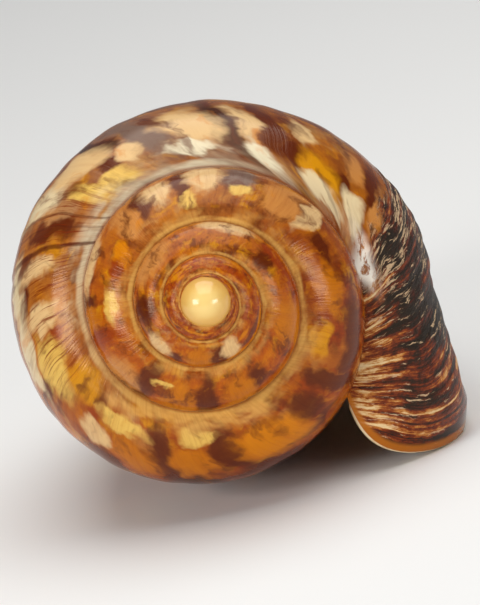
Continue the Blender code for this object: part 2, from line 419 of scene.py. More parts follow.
        wall = self.wall + (self.lip_wall - self.wall) * smooth_step(1 + row_turn / self.lip_wall_turns)
        turn = row_turn - g.shoulder_lag(self.shoulder) - corner_lag * (1 - self.shoulder) ** 2
        sweep = self.shoulder * np.pi / 2
        radius = corner_radius + (g.widest_radius(turn) - wall - corner_radius) * np.sin(sweep)
        height = corner_height + (g.widest_height(turn) - corner_height) * (1 - np.cos(sweep))
        shoulder = g.to_place(turn, radius, height)

        down = self.body[: -self.tip_steps] / self.hollow_end
        end = g.row_end(before)
        end_lag = g.lag_at_widest / 360 * down**self.hollow_rounding
        turn = row_turn - g.body_lag(down * self.hollow_end) + end_lag
        top = g.widest_height(turn)
        last_top = g.widest_height(before - g.body_lag(self.hollow_end))
        bottom = last_top + (end - last_top) * self.hollow_end
        height = top + (bottom - top) * down
        floor = g.body_radius(turn - 1, height, end)
        gap = np.maximum(g.body_radius(turn, height, -g.length) - wall - floor, 0.0)
        radius = floor + gap * np.sqrt(1 - down**self.hollow_rounding)
        body = g.to_place(turn, radius, height)
        return np.concatenate([floor_row[:1], shoulder[1:], body[1:-1], floor_row[-1:]])

    def rim_rows(self) -> np.ndarray:
        """Rows that round the lip's edge, from the outside to the inside."""
        outer = self.outside_row(0.0)
        start_tip = self.body_row(self.growth.start_turn, self.body[-self.tip_steps :])
        inner = np.concatenate([self.hollow_wall(0.0), start_tip])
        forward = outer - self.outside_row(-self.rim_step_back)
        forward /= np.maximum(np.linalg.norm(forward, axis=1, keepdims=True), 1e-9)
        down = np.concatenate([0 * self.shoulder, self.body[1:]])
        bulge = self.rim_bulge * (1 - smooth_between(down, *self.rim_bulge_ends))
        bulge[0] = 0.0
        rows = []
        for step in range(self.rim_steps + 1):
            angle = math.pi * step / self.rim_steps
            middle = (outer + inner) / 2 + (outer - inner) / 2 * math.cos(angle)
            width = np.linalg.norm(outer - inner, axis=1, keepdims=True)
            rows.append(middle + forward * width * bulge[:, None] * math.sin(angle))
            if step:
                rows[-1][0] = inner[0]
        rows[0], rows[-1] = outer, inner
        return np.stack(rows)

    def knob_rows(self) -> np.ndarray:
        """Rings of the bead at the apex, one row for each step of a turn, from its edge to its pole."""
        g = self.growth
        edge_height = -g.spire_slope * g.knob_edge
        centre = edge_height + math.sqrt(self.knob_radius**2 - g.knob_edge**2)
        edge_polar = math.pi - math.asin(g.knob_edge / self.knob_radius)
        polar = edge_polar * np.linspace(1, 0, self.knob_rings + 1)
        turns = g.knob_turn - 1 + np.arange(self.turn_steps + 1) / self.turn_steps
        radius, height = self.knob_radius * np.sin(polar), centre + self.knob_radius * np.cos(polar)
        radius[0], height[0], radius[-1] = g.knob_edge, edge_height, 0.0
        return np.stack([g.to_place(np.full(len(polar), t), radius, height) for t in turns])

    def sheet(
        self, name: str, rows: np.ndarray, turns: np.ndarray, across: np.ndarray, surface: Surface
    ) -> None:
        """Adds a flat grid and bends it through rows of points.

        Args:
            name: Name of the sheet.
            rows: Points, by row and by place in the row.
            turns: Turn of each row, kept in the UV map.
            across: Distance of each place across the whorl, in shoulder widths, kept in the UV map.
            surface: The stretch of wall that the sheet belongs to.
        """
        count, width = rows.shape[:2]
        bpy.ops.mesh.primitive_grid_add(x_subdivisions=count - 1, y_subdivisions=width - 1, size=1.0)
        piece = bpy.context.object
        piece.name = name
        mesh = piece.data
        flat = np.zeros(len(mesh.vertices) * 3)
        mesh.vertices.foreach_get("co", flat)
        flat = flat.reshape(-1, 3)
        row = np.rint((flat[:, 0] + 0.5) * (count - 1)).astype(int)
        place = np.rint((flat[:, 1] + 0.5) * (width - 1)).astype(int)
        mesh.vertices.foreach_set("co", rows[row, place].ravel())
        corner = np.zeros(len(mesh.loops), dtype=np.int32)
        mesh.loops.foreach_get("vertex_index", corner)
        growth_map = np.stack([turns[row[corner]], across[place[corner]]], axis=-1)
        mesh.uv_layers[0].name = "growth"
        mesh.uv_layers[0].data.foreach_set("uv", growth_map.ravel())
        mesh.materials.append(self.finishes[surface])
        self.sheets.append(piece)

    def lay_out(self) -> None:
        """Makes every sheet of the wall, with the same points where two of them meet."""
        g = self.growth
        steps = self.turn_steps
        start, knob = round(g.start_turn * steps), round(g.knob_turn * steps)
        down = 1 + self.body_width * self.body[1:]
        whole = np.concatenate([self.shoulder, down])

        spire = np.arange(knob + start + 1, start + 1) / steps
        spire_rows = np.stack([self.shoulder_row(t) for t in spire])
        self.sheet("spire", spire_rows, spire, self.shoulder, Surface.OUTSIDE)
        last = np.arange(start, 1) / steps
        self.sheet("last_turn", np.stack([self.outside_row(t) for t in last]), last, whole, Surface.OUTSIDE)
        rim = self.rim_rows()
        self.sheet("rim", rim, np.linspace(0, self.rim_turns, len(rim)), whole, Surface.LIP)
        knob_rows = self.knob_rows()
        around = np.linspace(0, 1, len(knob_rows))
        self.sheet("bead", knob_rows, around, np.linspace(0, 1, self.knob_rings + 1), Surface.BEAD)

        deep = np.arange(0, -round(self.hollow_turns * steps) - 1, -self.hollow_stride) / steps
        inner = np.concatenate([self.shoulder, down[: -self.tip_steps]])
        wall = np.stack([self.hollow_wall(t) for t in deep])
        self.sheet("hollow_wall", wall, deep, inner, Surface.INSIDE)
        floor = np.stack([self.hollow_floor(t) for t in deep])
        self.sheet("hollow_floor", floor, deep, down[: -self.tip_steps], Surface.INSIDE)
        ends = np.stack([wall[-1], self.spread(floor[-1], len(inner))])
        self.sheet("hollow_end", ends, deep[-2:], inner, Surface.INSIDE)

    def spread(self, points: np.ndarray, count: int) -> np.ndarray:
        """Repeats points of a row until it has the given count, so that two rows pair off with no gap."""
        index = np.rint(np.linspace(0, len(points) - 1, count)).astype(int)
        return points[index]

    def build(self, finishes: dict[Surface, bpy.types.Material]) -> bpy.types.Object:
        """Makes the closed wall and lays it on its aperture.

        Args:
            finishes: The material of each stretch of the wall.

        Returns:
            The finished piece, with its place in its mesh.
        """
        self.finishes = finishes
        self.lay_out()
        bpy.ops.object.select_all(action="DESELECT")
        for piece in self.sheets:
            piece.select_set(True)
        bpy.context.view_layer.objects.active = self.sheets[1]
        bpy.ops.object.join()
        shell = bpy.context.object
        shell.name = "volute_shell"
        shell.data.name = "volute_shell"
        bpy.ops.object.mode_set(mode="EDIT")
        bpy.ops.mesh.select_all(action="SELECT")
        bpy.ops.mesh.remove_doubles(threshold=self.weld_distance)
        bpy.ops.mesh.dissolve_degenerate(threshold=self.speck_size)
        bpy.ops.mesh.select_all(action="SELECT")
        bpy.ops.mesh.fill_holes(sides=0)
        bpy.ops.mesh.select_all(action="SELECT")
        bpy.ops.mesh.normals_make_consistent(inside=False)
        bpy.ops.object.mode_set(mode="OBJECT")
        shell.data.transform(self.turned)
        self.stand(shell)
        bpy.ops.object.shade_smooth_by_angle(angle=self.smooth_angle)
        shell.select_set(False)
        return shell

    def stand(self, shell: bpy.types.Object) -> None:
        """Moves the shell to where its solid lies: on the ground, centred on the origin."""
        points = np.array([v.co for v in shell.data.vertices])
        low, high = points.min(axis=0), points.max(axis=0)
        solid_low, solid_high = (np.array(corner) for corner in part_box("shell"))
        centre = (solid_low + solid_high) / 2 - (low + high) / 2
        self.shift = Vector((centre[0], centre[1], solid_low[2] - low[2]))
        shell.data.transform(Matrix.Translation(self.shift))

    def open_edges(self, shell: bpy.types.Object) -> int:
        """Counts edges that don't join exactly two faces."""
        mesh = bmesh.new()
        mesh.from_mesh(shell.data)
        count = sum(len(edge.link_faces) != 2 for edge in mesh.edges)
        mesh.free()
        return count


@dataclass(frozen=True)
class Grain:
    """A noise: how often it repeats along each axis, and its octaves, with how rough they are.

    On the growth map, along is for a turn and across for a shoulder width.
    """

    along: float
    across: float
    detail: float = 2.0
    roughness: float = 0.5
    through: float = 1.0


@dataclass(frozen=True)
class Kind:
    """A kind of node: its type, its settings, the inputs that take values in turn, and its output."""

    name: str
    settings: tuple[tuple[str, str], ...] = ()
    inputs: tuple[int | str, ...] = (0, 1, 2, 3, 4)
    output: int = 0


# Numbers, then places. A DISTANCE is how far one place is from another.
ADD, SUBTRACT, MULTIPLY, DIVIDE, MAXIMUM, MINIMUM, ABSOLUTE = (
    Kind("Math", (("operation", operation),))
    for operation in ("ADD", "SUBTRACT", "MULTIPLY", "DIVIDE", "MAXIMUM", "MINIMUM", "ABSOLUTE")
)
MOVE, MOVE_BACK, STRETCH = (
    Kind("VectorMath", (("operation", operation),)) for operation in ("ADD", "SUBTRACT", "MULTIPLY")
)
DISTANCE = Kind("VectorMath", (("operation", "DISTANCE"),), output=1)

# A straight GRADE and a STEP, which is level at both ends, take a value, start, end, low and high.
GRADE = Kind("MapRange")
STEP = Kind("MapRange", (("interpolation_type", "SMOOTHSTEP"),))

# A MIX and a TINT, which darkens, take a factor and two colours.
MIX = Kind("Mix", (("data_type", "RGBA"),), (0, 6, 7), 2)
TINT = Kind("Mix", (("data_type", "RGBA"), ("blend_type", "MULTIPLY")), (0, 6, 7), 2)

# Patterns, and what they are read from.
NOISE = Kind("TexNoise", inputs=("Vector", "Scale", "Detail", "Roughness"))
NOISE_PLACES = Kind("TexNoise", inputs=("Vector", "Scale", "Detail"), output=1)
CELLS = Kind("TexVoronoi", (("voronoi_dimensions", "2D"),), ("Vector", "Scale"), 1)
CELL_EDGES = Kind("TexVoronoi", (("feature", "DISTANCE_TO_EDGE"), *CELLS.settings), CELLS.inputs)
COLOUR_RAMP = Kind("ValToRGB")
BUMP = Kind("Bump", inputs=("Strength", "Distance", "Height", "Normal"))
OBJECT_PLACE = Kind("TexCoord", output=3)
GROWTH_MAP = Kind("UVMap", (("uv_map", "growth"),))
JOIN = Kind("CombineXYZ")
SPLIT = Kind("SeparateXYZ")
SPLIT_COLOUR = Kind("SeparateColor")


class Paint:
    """Node tree of one material, and the one function that adds nodes to it."""

    def __init__(self, name: str) -> None:
        """Makes the material and finds its shader."""
        self.material = bpy.data.materials.new(name)
        self.material.use_nodes = True
        self.tree = self.material.node_tree
        self.shader = self.tree.nodes["Principled BSDF"]

    def feed(self, socket: Socket, value: object) -> None:
        """Links a socket to another one, or gives it a fixed value, where a hex code is a colour."""
        if isinstance(value, Socket):
            self.tree.links.new(value, socket)
        else:
            socket.default_value = colour(value) if isinstance(value, str) else value

    def finish(self, values: dict[str, object]) -> bpy.types.Material:
        """Gives the shader's inputs their values or links, and returns the material."""
        for name, value in values.items():
            self.feed(self.shader.inputs[name], value)
        return self.material

    def node(self, kind: Kind, *values: object) -> bpy.types.Node:
        """Adds a node with its settings, and links or sets its inputs."""
        node = self.tree.nodes.new("ShaderNode" + kind.name)
        for name, setting in kind.settings:
            setattr(node, name, setting)
        for key, value in zip(kind.inputs, values):
            self.feed(node.inputs[key], value)
        return node

    def add(self, kind: Kind, *values: object) -> Socket:
        """Adds a node, and returns its output."""
        return self.node(kind, *values).outputs[kind.output]

    def chain(self, kind: Kind, first: object, *others: object) -> Socket:
        """Adds a node for each further value, which joins it to what came before."""
        for other in others:
            first = self.add(kind, first, other)
        return first

    def noise(self, grain: Grain, place: Socket) -> Socket:
        """Adds noise on a place, and returns its value."""
        stretched = self.add(STRETCH, place, (grain.along, grain.across, grain.through))
        return self.add(NOISE, stretched, 1.0, grain.detail, grain.roughness)

    def warp(self, place: Socket, warps: Warps) -> Socket:
        """Moves a place about by one noise after another, each up to about half of its size each way."""
        for scale, size in warps:
            noise = self.add(NOISE_PLACES, self.add(STRETCH, place, scale), 1.0, 3.0)
            centred = self.add(MOVE_BACK, noise, (0.5, 0.5, 0.5))
            place = self.add(MOVE, place, self.add(STRETCH, centred, size))
        return place

    def ramp(self, value: object, stops: Stops) -> Socket:
        """Adds a colour ramp through stops of place and hex code."""
        node = self.node(COLOUR_RAMP, value)
        elements = node.color_ramp.elements
        elements[0].position, elements[1].position = stops[0][0], stops[-1][0]
        for place, _ in stops[1:-1]:
            elements.new(place)
        for element, (_, code) in zip(elements, stops):
            element.color = colour(code)
        return node.outputs[0]


class GrowthPaint(Paint):
    """Node tree of a material that follows the growth map: turns, and shoulder widths across the whorl."""

    def __init__(self, name: str) -> None:
        """Makes the material and reads the growth map."""
        super().__init__(name)
        self.place = self.add(GROWTH_MAP)
        self.turn, self.across, _ = self.node(SPLIT, self.place).outputs
        self.line = self.turn

    def texture(self, grain: Grain) -> Socket:
        """Adds noise that follows the growth map."""
        return self.noise(grain, self.place)


@dataclass(frozen=True)
class Patch:
    """One light or dark patch: its middle and its half sizes, each in turns and in shoulder widths."""

    turn: float
    across: float
    half_turns: float
    half_across: float

    @property
    def size(self) -> float:
        """Radius of the round patch with the same area."""
        return math.sqrt(self.half_turns * self.half_across)

    @property
    def stretch(self) -> float:
        """How far the patch is drawn out across the whorl, rounded so that patches share a few values."""
        grade = 1.25
        return grade ** round(math.log(self.half_across / self.half_turns) / 2 / math.log(grade))


Layers = tuple[tuple[Tone, tuple[tuple[float, float, float, float], ...]], ...]


@dataclass(frozen=True)
class MottledGlaze:
    """Outside of the shell: glossy, with light patches in a brown net, worn rough near the lip, and grey
    painted sheen where the overhead softbox is reflected.

    The last turn is about 170 mm round and its shoulder about 16 mm across, so 170 in a turn is one a
    millimetre. Real growth lines are 0.1 to 0.3 mm apart. These are drawn as coarse as they need to show.
    """

    # Ground colour along the turns: the shell's own brown, with greyer stops near -2.3, -1.35 and -0.35
    # turns that are a painted sheen where the overhead softbox is reflected.
    ground: Stops = (
        (-4.0, "#943600"),
        (-2.6, "#a04000"),
        (-2.3, "#a85c20"),
        (-2.0, "#a84a00"),
        (-1.6, "#ac5000"),
        (-1.35, "#9c5a24"),
        (-1.1, "#862e00"),
        (-0.75, "#983c00"),
        (-0.55, "#a8601a"),
        (-0.35, "#86583e"),
        (-0.22, "#8c4810"),
    )
    light_tones: Stops = (
        (0.1, Tone.AMBER),
        (0.4, Tone.ORANGE),
        (0.6, Tone.OCHRE),
        (0.8, Tone.PEACH),
        (1.0, Tone.SAND),
    )
    rough_tones: Stops = (
        (0.42, "#0d0604"),
        (0.5, "#240a03"),
        (0.57, "#561806"),
        (0.64, "#843408"),
        (0.7, "#bc7a34"),
        (0.78, "#e2c592"),
    )
    fleck_tone: str = "#d2b088"
    inner_band_tone: str = "#e2ac58"
    mark_tone: str = "#742400"
    scar_tone: str = "#4a1200"
    lip_tone: str = "#b0620c"

    # A polish of shell over shell: its reflections are sharp, weak and a little warm.
    sheen_roughness: Pair = (0.17, 0.27)
    rough_roughness: float = 0.5
    refraction: float = 1.5
    specular: float = 0.38
    specular_tint: str = "#ffe0c2"
    striae_depth: float = 0.00003
    flaking_depth: float = 0.0004

    patch_edge: Pair = (1.5, 0.7)
    patch_cover: float = 0.95
    line_bends: Pair = (0.036, 0.085)
    bend_turns: Pair = (-0.5, -0.2)
    ease_turns: Pair = (-0.2, -0.08)
    line_bend_end: float = 0.32
    spire_lean: float = 0.06
    spire_ends: Pair = (-0.9, -1.15)
    first_turns: Pair = (-2.0, -2.3)
    wander_turns: float = 0.1
    cell_gaps: Pair = (0.02, 0.32)
    cell_fade: float = 0.14
    band_raggedness: float = 0.34
    mark_strength: float = 0.85
    zone_raggedness: float = 0.05
    zone_start: Pair = (-0.208, -0.196)
    lip_band: Pair = (-0.007, -0.003)
    scars: tuple[Place, ...] = ((-0.552, 0.0034, 0.75), (-0.517, 0.0022, 0.5), (-0.53, 0.0016, 0.35))

    cells: Place = (15.0, 2.2, 1.0)
    cell_warps: Warps = (((13.0, 3.0, 1.0), (0.075, 0.5, 0.0)), ((44.0, 8.0, 1.0), (0.028, 0.2, 0.0)))
    patch_warps: Warps = (((34.0, 5.0, 1.0), (0.034, 0.3, 0.0)), ((70.0, 10.0, 1.0), (0.006, 0.07, 0.0)))
    scar_warps: Warps = (((30.0, 6.0, 1.0), (0.006, 0.0, 0.0)),)
    fleck_warps: Warps = (((60.0, 9.0, 1.0), (0.006, 0.04, 0.0)),)

    wander: Grain = Grain(8.0, 2.0, 3.0)
    cloud: Grain = Grain(34.0, 4.0, 4.0, 0.6)
    torn: Grain = Grain(24.0, 3.5, 3.0, 0.65)
    flame: Grain = Grain(7.0, 2.6, 2.0, 0.6)
    mist: Grain = Grain(9.0, 3.4, 2.0, 0.6)
    paler: Grain = Grain(24.0, 4.0, 3.0, 0.6)
    deeper: Grain = Grain(38.0, 2.6, 3.0, 0.6)
    ragged_band: Grain = Grain(19.0, 2.0)
    broken_band: Grain = Grain(17.0, 4.0, 3.0, 0.6)
    edge_gaps: Grain = Grain(23.0, 6.0, 3.0, 0.6)
    faint_lines: Grain = Grain(200.0, 1.5, 4.0, 0.7)
    marks: Grain = Grain(300.0, 2.0, 4.0, 0.7)
    ragged_zone: Grain = Grain(60.0, 5.0, 5.0, 0.65)
    rough_lines: Grain = Grain(170.0, 0.45, 8.0, 0.7)
    rough_bands: Grain = Grain(36.0, 0.8, 1.0)
    breaks: Grain = Grain(150.0, 7.0, 6.0, 0.7)
    flecks: Grain = Grain(340.0, 6.0, 6.0, 0.72)
    fleck_crowds: Grain = Grain(44.0, 2.0)
    white_gaps: Grain = Grain(40.0, 9.0, 5.0, 0.7)
    haze: Grain = Grain(40.0, 6.0, 3.0)
    striae: Grain = Grain(420.0, 1.2)
    flaking: Grain = Grain(230.0, 9.0, 5.0, 0.65)

    blotches_and_sheen: Layers = (
        (Tone.UMBER, (
            (-0.820, 0.84, 0.024, 0.14), (-0.434, 0.72, 0.008, 0.18), (-0.338, 0.43, 0.013, 0.30),
        )),
        (Tone.BROWN, (
            (-2.885, 0.55, 0.022, 0.35), (-2.765, 0.60, 0.014, 0.16), (-2.620, 0.46, 0.036, 0.28),
            (-2.205, 0.40, 0.022, 0.20), (-1.945, 0.48, 0.020, 0.20), (-1.850, 0.50, 0.016, 0.42),
            (-1.745, 0.50, 0.018, 0.42), (-1.580, 0.78, 0.010, 0.20), (-1.440, 0.55, 0.011, 0.26),
            (-1.378, 0.55, 0.012, 0.22), (-1.170, 0.44, 0.024, 0.08), (-1.056, 0.62, 0.050, 0.13),
            (-1.010, 0.50, 0.012, 0.28), (-0.975, 0.40, 0.020, 0.17), (-0.945, 0.65, 0.034, 0.06),
            (-0.888, 0.82, 0.034, 0.14), (-0.875, 0.47, 0.015, 0.26), (-0.807, 0.48, 0.012, 0.28),
            (-0.737, 0.80, 0.016, 0.12), (-0.668, 0.62, 0.010, 0.16), (-0.585, 0.66, 0.018, 0.08),
            (-0.533, 0.42, 0.010, 0.20), (-0.453, 0.38, 0.010, 0.12), (-0.293, 0.52, 0.012, 0.28),
            (-0.277, 0.27, 0.008, 0.12), (-0.222, 0.32, 0.010, 0.10), (-0.192, 0.50, 0.009, 0.20),
        )),
        # Painted sheen: grey patches where the overhead softbox is reflected on the whorls.
        (Tone.SHEEN_GREY, (
            (-1.300, 0.62, 0.020, 0.18), (-0.407, 0.50, 0.015, 0.28),
        )),
        (Tone.RUST, (
            (-2.085, 0.80, 0.045, 0.16), (-2.170, 0.62, 0.050, 0.15), (-1.645, 0.58, 0.013, 0.36),
            (-1.550, 0.28, 0.012, 0.10), (-0.728, 0.30, 0.010, 0.15), (-0.640, 0.34, 0.008, 0.14),
            (-0.905, 0.30, 0.012, 0.10),
        )),
    )
    patches: Layers = (
        (Tone.AMBER, (
            (-2.827, 0.50, 0.030, 0.28), (-2.060, 0.55, 0.040, 0.30), (-1.900, 0.60, 0.024, 0.34),
            (-1.800, 0.60, 0.024, 0.34), (-1.610, 0.72, 0.016, 0.18), (-1.122, 0.36, 0.034, 0.12),
            (-0.838, 0.52, 0.018, 0.20), (-0.775, 0.58, 0.020, 0.20),
        )),
        (Tone.ORANGE, (
            (-1.525, 0.28, 0.020, 0.10), (-0.924, 0.45, 0.033, 0.24),
        )),
        (Tone.GOLD, (
            (-1.060, 0.24, 0.024, 0.09), (-0.705, 0.24, 0.019, 0.14), (-0.247, 0.26, 0.020, 0.13),
        )),
        (Tone.ROSE, (
            (-2.490, 0.62, 0.060, 0.30), (-1.700, 0.66, 0.024, 0.26), (-1.472, 0.50, 0.018, 0.26),
            (-1.243, 0.52, 0.026, 0.27), (-0.213, 0.56, 0.010, 0.13), (-0.180, 0.42, 0.007, 0.18),
        )),
        (Tone.OCHRE, (
            (-1.780, 0.38, 0.016, 0.06), (-1.617, 0.30, 0.022, 0.09), (-1.385, 0.30, 0.014, 0.07),
            (-1.307, 0.42, 0.013, 0.08), (-0.850, 0.22, 0.022, 0.07), (-0.762, 0.29, 0.028, 0.07),
            (-0.668, 0.44, 0.031, 0.11), (-0.490, 0.30, 0.012, 0.14), (-0.462, 0.20, 0.020, 0.08),
        )),
        (Tone.PEACH, (
            (-2.933, 0.42, 0.026, 0.26), (-2.713, 0.58, 0.030, 0.22), (-2.290, 0.75, 0.050, 0.20),
            (-1.533, 0.78, 0.030, 0.14), (-1.410, 0.60, 0.018, 0.20), (-1.345, 0.62, 0.021, 0.22),
            (-1.200, 0.62, 0.011, 0.24), (-0.735, 0.54, 0.015, 0.09), (-0.618, 0.42, 0.012, 0.16),
            (-0.570, 0.50, 0.012, 0.14), (-0.463, 0.65, 0.023, 0.14), (-0.432, 0.40, 0.011, 0.12),
            (-0.367, 0.45, 0.021, 0.22), (-0.315, 0.50, 0.012, 0.16), (-0.262, 0.58, 0.009, 0.14),
        )),
        (Tone.SAND, (
            (-0.633, 0.71, 0.034, 0.10), (-0.575, 0.76, 0.022, 0.10), (-0.500, 0.72, 0.016, 0.18),
            (-0.227, 0.13, 0.020, 0.06), (-0.195, 0.20, 0.016, 0.08),
        )),
        (Tone.CREAM, (
            (-0.372, 0.19, 0.022, 0.06), (-0.300, 0.17, 0.014, 0.12),
        )),
    )

    def line_at(self, turn: float, across: float) -> float:
        """Growth line through a place: it runs ahead near the suture, and leans over on the spire."""
        rise = smooth_between(turn, *self.bend_turns) * smooth_between(turn, *reversed(self.ease_turns))
        low, high = self.line_bends
        ahead = (low + (high - low) * rise) * max(1 - across / self.line_bend_end, 0.0) ** 2
        lean = self.spire_lean * across * smooth_between(turn, *self.spire_ends)
        return float(turn - ahead - lean)

    def lines(self, paint: GrowthPaint) -> Socket:
        """Adds the nodes that find the growth line through each place, as line_at does."""
        turn, across = paint.turn, paint.across
        near = paint.add(SUBTRACT, 1.0, paint.add(DIVIDE, across, self.line_bend_end))
        near = paint.add(MAXIMUM, near, 0.0)
        rise = paint.add(STEP, turn, *self.bend_turns)
        rise = paint.add(MULTIPLY, rise, paint.add(STEP, turn, *reversed(self.ease_turns)))
        bend = paint.add(GRADE, rise, 0.0, 1.0, *self.line_bends)
        lean = paint.add(STEP, turn, *self.spire_ends, 0.0, self.spire_lean)
        lean = paint.add(MULTIPLY, lean, paint.add(MINIMUM, across, 1.0))
        return paint.add(SUBTRACT, paint.add(SUBTRACT, turn, paint.chain(MULTIPLY, near, near, bend)), lean)

    def dress(self) -> bpy.types.Material:
        """Makes the material.

        Returns:
            The glossy mottled finish.
        """
        paint = GrowthPaint("mottled_glaze")
        paint.line = self.lines(paint)
        paint.place = paint.add(JOIN, paint.line, paint.across)

        shade = self.mottling(paint)
        shade = self.placed(paint, shade)
        shade = self.suture(paint, shade)
        shade = self.streaks(paint, shade)
        rough, shade = self.rough_zone(paint, shade)

        gloss = paint.add(STEP, paint.texture(self.haze), 0.3, 0.8, *self.sheen_roughness)
        worn = paint.add(MULTIPLY, rough, self.rough_roughness)
        normal = paint.add(BUMP, 1.0, self.striae_depth, paint.texture(self.striae))
        flaking = paint.add(MULTIPLY, paint.texture(self.flaking), rough)
        return paint.finish(
            {
                "Base Color": shade,
                "Roughness": paint.add(MAXIMUM, gloss, worn),
                "IOR": self.refraction,
                "Specular IOR Level": self.specular,
                "Specular Tint": self.specular_tint,
                "Normal": paint.add(BUMP, 1.0, self.flaking_depth, flaking, normal),
            }
        )

    def mottling(self, paint: GrowthPaint) -> Socket:
        """Adds light patches in a brown net over the ground colour, whose greyer stops are a painted sheen,
        and brown flames on the first turns.

        Args:
            paint: The material's nodes.

        Returns:
            The pattern's colour.
        """
        line, across = paint.line, paint.across
        first = self.ground[0][0]
        wander = paint.add(ADD, line, paint.add(MULTIPLY, paint.texture(self.wander), self.wander_turns))
        # The ramp's greyer stops are a painted sheen of the overhead softbox.
        stops = tuple((1 - turn / first, code) for turn, code in self.ground)
        shade = paint.ramp(paint.add(GRADE, wander, first, 0.0), stops)
        cloud = paint.texture(self.cloud)
        shade = paint.add(MIX, paint.add(STEP, cloud, 0.45, 0.75, 0.0, 0.6), shade, Tone.ORANGE)
        shade = paint.add(MIX, paint.add(STEP, cloud, 0.5, 0.25, 0.0, 0.75), shade, Tone.BROWN)

        cells = paint.add(STRETCH, paint.warp(paint.place, self.cell_warps), self.cells)
        edge = paint.add(CELL_EDGES, cells, 1.0)
        shown, tone, _ = paint.node(SPLIT_COLOUR, paint.add(CELLS, cells, 1.0)).outputs
        edge_at = paint.add(ADD, self.cell_gaps[0], paint.add(MULTIPLY, shown, self.cell_gaps[1]))
        patch = paint.add(STEP, edge, edge_at, paint.add(ADD, edge_at, self.cell_fade))
        torn = paint.texture(self.torn)
        patch = paint.chain(
            MULTIPLY,
            patch,
            paint.add(STEP, torn, 0.4, 0.52, 0.15, 1.0),
            paint.add(STEP, across, 0.8, 1.0, 0.2, 0.9),
        )
        dark = paint.chain(
            MULTIPLY,
            paint.add(STEP, edge, 0.2, 0.02),
            paint.add(STEP, torn, 0.62, 0.45),
            paint.add(STEP, across, 0.8, 1.0, 0.1, 0.8),
        )
        shade = paint.add(MIX, dark, shade, Tone.BROWN)
        first_turns = paint.add(STEP, line, *self.first_turns)
        flame = paint.add(STEP, paint.texture(self.flame), 0.52, 0.64, 0.0, 0.8)
        shade = paint.add(MIX, paint.add(MULTIPLY, flame, first_turns), shade, Tone.BROWN)
        mist = paint.add(STEP, paint.texture(self.mist), 0.47, 0.34, 0.0, 0.8)
        shade = paint.add(MIX, paint.add(MULTIPLY, mist, first_turns), shade, Tone.ORANGE)

        pale = paint.add(STEP, line, -1.0, -0.5, 0.0, 0.3)
        top = paint.add(STEP, across, 0.4, 0.05, 0.0, 0.3)
        tone = paint.add(ADD, paint.add(MULTIPLY, tone, 0.6), paint.add(ADD, top, pale))
        return paint.add(MIX, patch, shade, paint.ramp(tone, self.light_tones))

    def placed(self, paint: GrowthPaint, shade: Socket) -> Socket:
        """Adds the dark marks, with grey ones that are a painted sheen, and then the light patches, with
        soft edges frayed along the growth lines.

        Args:
            paint: The material's nodes.
            shade: Colour so far.

        Returns:
            The colour with the patches.
        """
        warped = paint.warp(paint.place, self.patch_warps)
        paler = paint.add(STEP, paint.noise(self.paler, warped), 0.47, 0.3, 0.0, 0.7)
        shade = paint.add(MIX, paler, shade, Tone.GOLD)
        stretched = {}
        # The grey layer is a painted sheen; the other layers are the shell's own marks and patches.
        for tone, places in self.blotches_and_sheen + self.patches:
            nearest = None
            for place in places:
                patch = Patch(*place)
                stretch = patch.stretch
                if stretch not in stretched:
                    stretched[stretch] = paint.add(STRETCH, warped, (stretch, 1 / stretch, 0.0))
                middle = (self.line_at(patch.turn, patch.across) * stretch, patch.across / stretch, 0.0)
                away = paint.add(DIVIDE, paint.add(DISTANCE, stretched[stretch], middle), patch.size)
                nearest = away if nearest is None else paint.add(MINIMUM, nearest, away)
            shown = paint.add(STEP, nearest, *self.patch_edge, 0.0, self.patch_cover)
            shade = paint.add(MIX, shown, shade, tone)
        deeper = paint.noise(self.deeper, warped)
        dark = paint.add(STEP, deeper, 0.5, 0.7, 0.0, 0.78)
        dark = paint.add(MULTIPLY, dark, paint.add(STEP, paint.line, -3.0, -2.3, 0.3, 1.0))
        shade = paint.add(MIX, dark, shade, Tone.BROWN)
        return paint.add(MIX, paint.add(STEP, deeper, 0.42, 0.28, 0.0, 0.45), shade, Tone.ORANGE)

    def suture(self, paint: GrowthPaint, shade: Socket) -> Socket:
        """Adds the pale band below the suture, the brown line in it, and a painted shade on each spire
        whorl's edge where it meets the suture.

        Args:
            paint: The material's nodes.
            shade: Colour so far.

        Returns:
            The colour with the band.
        """
        line, across = paint.line, paint.across
        ragged = paint.add(MULTIPLY, paint.texture(self.ragged_band), self.band_raggedness)
        band = paint.add(STEP, across, paint.add(ADD, ragged, 0.08), paint.add(SUBTRACT, ragged, 0.1))
        broken = paint.chain(
            MULTIPLY,
            paint.add(STEP, paint.texture(self.broken_band), 0.42, 0.62, 0.05, 0.8),
            paint.add(STEP, line, -0.55, -0.4, 1.0, 0.2),
            paint.add(STEP, line, -1.3, -0.9, 0.6, 1.0),
        )
        pale = paint.add(MIX, paint.add(STEP, line, -0.8, -0.5), self.inner_band_tone, Tone.CREAM)
        shade = paint.add(MIX, paint.add(MULTIPLY, band, broken), shade, pale)
        edge = paint.add(STEP, paint.add(SUBTRACT, across, paint.add(MULTIPLY, ragged, 0.3)), 0.03, -0.01)
        gaps = paint.add(STEP, paint.texture(self.edge_gaps), 0.35, 0.6, 0.2, 0.8)
        edge = paint.chain(MULTIPLY, edge, gaps, paint.add(STEP, line, -0.3, -0.42))
        shade = paint.add(MIX, edge, shade, pale)
        shade = paint.add(MIX, paint.add(STEP, across, 0.025, 0.0, 0.0, 0.5), shade, Tone.RUST)
        # Painted shade: darkens the edge of each spire whorl where it runs into the next suture's crease.
        crease_shade = paint.add(STEP, across, 0.75, 1.0, 0.0, 0.6)
        crease_shade = paint.add(MULTIPLY, crease_shade, paint.add(STEP, line, -0.98, -1.02))
        return paint.add(MIX, crease_shade, shade, Tone.BROWN)

